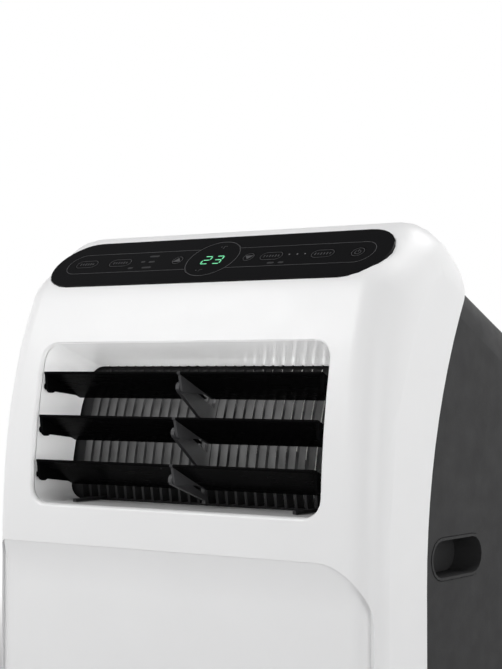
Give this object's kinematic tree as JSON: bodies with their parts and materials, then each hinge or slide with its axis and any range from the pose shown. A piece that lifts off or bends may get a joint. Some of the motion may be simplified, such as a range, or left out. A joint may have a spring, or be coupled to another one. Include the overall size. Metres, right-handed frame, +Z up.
{
  "type": "portable air conditioner",
  "caption": "Upright room air conditioner on swivelling casters, with a louvred front air outlet, sloping touch panel, side grip pockets, rear intake grilles and a round exhaust collar.",
  "frame": {"origin": "on the floor under the middle of the cabinet", "axes": "+X to the right seen from the front, +Y to the back, +Z up"},
  "size_m": [0.344, 0.3049, 0.6933],
  "materials": {
    "white": "satin white moulded plastic",
    "duct": "smooth white moulded plastic",
    "dark": "fine-grained charcoal plastic",
    "black": "black moulded plastic",
    "gloss": "glossy black overlay",
    "foam": "white expanded foam",
    "grey": "grey moulded plastic",
    "steel": "zinc plated",
    "fins": "thin fins",
    "copper": "bare copper tube",
    "board": "coated circuit board",
    "mesh": "fine filter mesh",
    "paint": "black baked paint",
    "tread": "caster tread"
  },
  "bodies": {
    "cabinet": {"back_screw_1": "steel", "back_screw_2": "steel", "back_screw_3": "steel", "back_screw_4": "steel", "base_pan": "dark", "compressor": "paint", "cond_motor": "steel", "cond_scroll": "dark", "condenser": "fins", "control_board": "board", "control_panel": "gloss", "cord_gland": "black", "display_lens": "gloss", "drain_spout_lower": "dark", "drain_spout_upper": "dark", "drip_tray": "foam", "electrical_box": "grey", "evap_motor": "steel", "evap_scroll": "foam", "evaporator": "fins", "exhaust_collar": "dark", "front_shell": "white", "grip_cup_left": "dark", "grip_cup_right": "dark", "guard_grille": "black", "louvre_bracket": "grey", "lower_intake_grille": "dark", "outlet_duct": "duct", "rear_shell": "dark", "refrigerant_pipe": "copper", "swing_motor": "steel"},
    "louvre_1": {"louvre_1": "black"},
    "louvre_2": {"louvre_2": "black"},
    "louvre_3": {"louvre_3": "black"},
    "louvre_link": {"louvre_link": "black"},
    "key_timer": {"key_timer": "gloss"},
    "key_mode": {"key_mode": "gloss"},
    "key_up": {"key_up": "gloss"},
    "key_down": {"key_down": "gloss"},
    "key_speed": {"key_speed": "gloss"},
    "key_swing": {"key_swing": "gloss"},
    "key_power": {"key_power": "gloss"},
    "evap_wheel": {"evap_wheel": "grey"},
    "cond_wheel": {"cond_wheel": "grey"},
    "upper_grille": {"upper_intake_grille": "dark", "air_filter": "mesh"},
    "drain_plug_upper": {"drain_plug_upper": "black"},
    "drain_plug_lower": {"drain_plug_lower": "black"},
    "caster_fork_1": {"caster_fork_1": "dark"},
    "caster_wheel_1": {"caster_wheel_1": "tread"},
    "caster_fork_2": {"caster_fork_2": "dark"},
    "caster_wheel_2": {"caster_wheel_2": "tread"},
    "caster_fork_3": {"caster_fork_3": "dark"},
    "caster_wheel_3": {"caster_wheel_3": "tread"},
    "caster_fork_4": {"caster_fork_4": "dark"},
    "caster_wheel_4": {"caster_wheel_4": "tread"}
  },
  "joints": [
    {"name": "louvre_1_tilt", "type": "hinge", "parent": "cabinet", "child": "louvre_1", "pos_m": [0, -0.1342, 0.5752], "axis": [1, 0, 0], "range_deg": [0, 30]},
    {"name": "louvre_2_tilt", "type": "hinge", "parent": "cabinet", "child": "louvre_2", "pos_m": [0, -0.1397, 0.5426], "axis": [1, 0, 0], "range_deg": [0, 30]},
    {"name": "louvre_3_tilt", "type": "hinge", "parent": "cabinet", "child": "louvre_3", "pos_m": [0, -0.1428, 0.509], "axis": [1, 0, 0], "range_deg": [0, 30]},
    {"name": "louvre_link_pin", "type": "hinge", "parent": "louvre_1", "child": "louvre_link", "pos_m": [0, -0.1122, 0.5672], "axis": [1, 0, 0], "range_deg": [-30, 0]},
    {"name": "key_timer_press", "type": "slide", "parent": "cabinet", "child": "key_timer", "axis": [0, 0.6046, -0.7965], "range_m": [0, 0.0005], "stiffness_N_per_m": 800, "springref_m": -0.0005},
    {"name": "key_mode_press", "type": "slide", "parent": "cabinet", "child": "key_mode", "axis": [0, 0.6046, -0.7965], "range_m": [0, 0.0005], "stiffness_N_per_m": 800, "springref_m": -0.0005},
    {"name": "key_up_press", "type": "slide", "parent": "cabinet", "child": "key_up", "axis": [0, 0.6046, -0.7965], "range_m": [0, 0.0005], "stiffness_N_per_m": 800, "springref_m": -0.0005},
    {"name": "key_down_press", "type": "slide", "parent": "cabinet", "child": "key_down", "axis": [0, 0.6046, -0.7965], "range_m": [0, 0.0005], "stiffness_N_per_m": 800, "springref_m": -0.0005},
    {"name": "key_speed_press", "type": "slide", "parent": "cabinet", "child": "key_speed", "axis": [0, 0.6046, -0.7965], "range_m": [0, 0.0005], "stiffness_N_per_m": 800, "springref_m": -0.0005},
    {"name": "key_swing_press", "type": "slide", "parent": "cabinet", "child": "key_swing", "axis": [0, 0.6046, -0.7965], "range_m": [0, 0.0005], "stiffness_N_per_m": 800, "springref_m": -0.0005},
    {"name": "key_power_press", "type": "slide", "parent": "cabinet", "child": "key_power", "axis": [0, 0.6046, -0.7965], "range_m": [0, 0.0005], "stiffness_N_per_m": 800, "springref_m": -0.0005},
    {"name": "evap_wheel_spin", "type": "hinge", "parent": "cabinet", "child": "evap_wheel", "pos_m": [0, 0, 0.46], "axis": [0, 1, 0], "continuous": true},
    {"name": "cond_wheel_spin", "type": "hinge", "parent": "cabinet", "child": "cond_wheel", "pos_m": [-0.052, 0, 0.205], "axis": [0, 1, 0], "continuous": true},
    {"name": "upper_grille_pull", "type": "slide", "parent": "cabinet", "child": "upper_grille", "axis": [0, 1, 0], "range_m": [0, 0.05]},
    {"name": "drain_plug_upper_pull", "type": "slide", "parent": "cabinet", "child": "drain_plug_upper", "axis": [0, 1, 0], "range_m": [0, 0.03]},
    {"name": "drain_plug_lower_pull", "type": "slide", "parent": "cabinet", "child": "drain_plug_lower", "axis": [0, 1, 0], "range_m": [0, 0.03]},
    {"name": "caster_swivel_1", "type": "hinge", "parent": "cabinet", "child": "caster_fork_1", "pos_m": [-0.124, -0.098, 0.045], "axis": [0, 0, 1], "continuous": true},
    {"name": "caster_roll_1", "type": "hinge", "parent": "caster_fork_1", "child": "caster_wheel_1", "pos_m": [-0.124, -0.088, 0.016], "axis": [1, 0, 0], "continuous": true},
    {"name": "caster_swivel_2", "type": "hinge", "parent": "cabinet", "child": "caster_fork_2", "pos_m": [0.124, -0.098, 0.045], "axis": [0, 0, 1], "continuous": true},
    {"name": "caster_roll_2", "type": "hinge", "parent": "caster_fork_2", "child": "caster_wheel_2", "pos_m": [0.124, -0.088, 0.016], "axis": [1, 0, 0], "continuous": true},
    {"name": "caster_swivel_3", "type": "hinge", "parent": "cabinet", "child": "caster_fork_3", "pos_m": [-0.124, 0.098, 0.045], "axis": [0, 0, 1], "continuous": true},
    {"name": "caster_roll_3", "type": "hinge", "parent": "caster_fork_3", "child": "caster_wheel_3", "pos_m": [-0.124, 0.108, 0.016], "axis": [1, 0, 0], "continuous": true},
    {"name": "caster_swivel_4", "type": "hinge", "parent": "cabinet", "child": "caster_fork_4", "pos_m": [0.124, 0.098, 0.045], "axis": [0, 0, 1], "continuous": true},
    {"name": "caster_roll_4", "type": "hinge", "parent": "caster_fork_4", "child": "caster_wheel_4", "pos_m": [0.124, 0.108, 0.016], "axis": [1, 0, 0], "continuous": true}
  ],
  "couplings": [
    {"joint": "louvre_2_tilt", "follows": "louvre_1_tilt", "ratio": 1},
    {"joint": "louvre_3_tilt", "follows": "louvre_1_tilt", "ratio": 1},
    {"joint": "louvre_link_pin", "follows": "louvre_1_tilt", "ratio": -1}
  ]
}
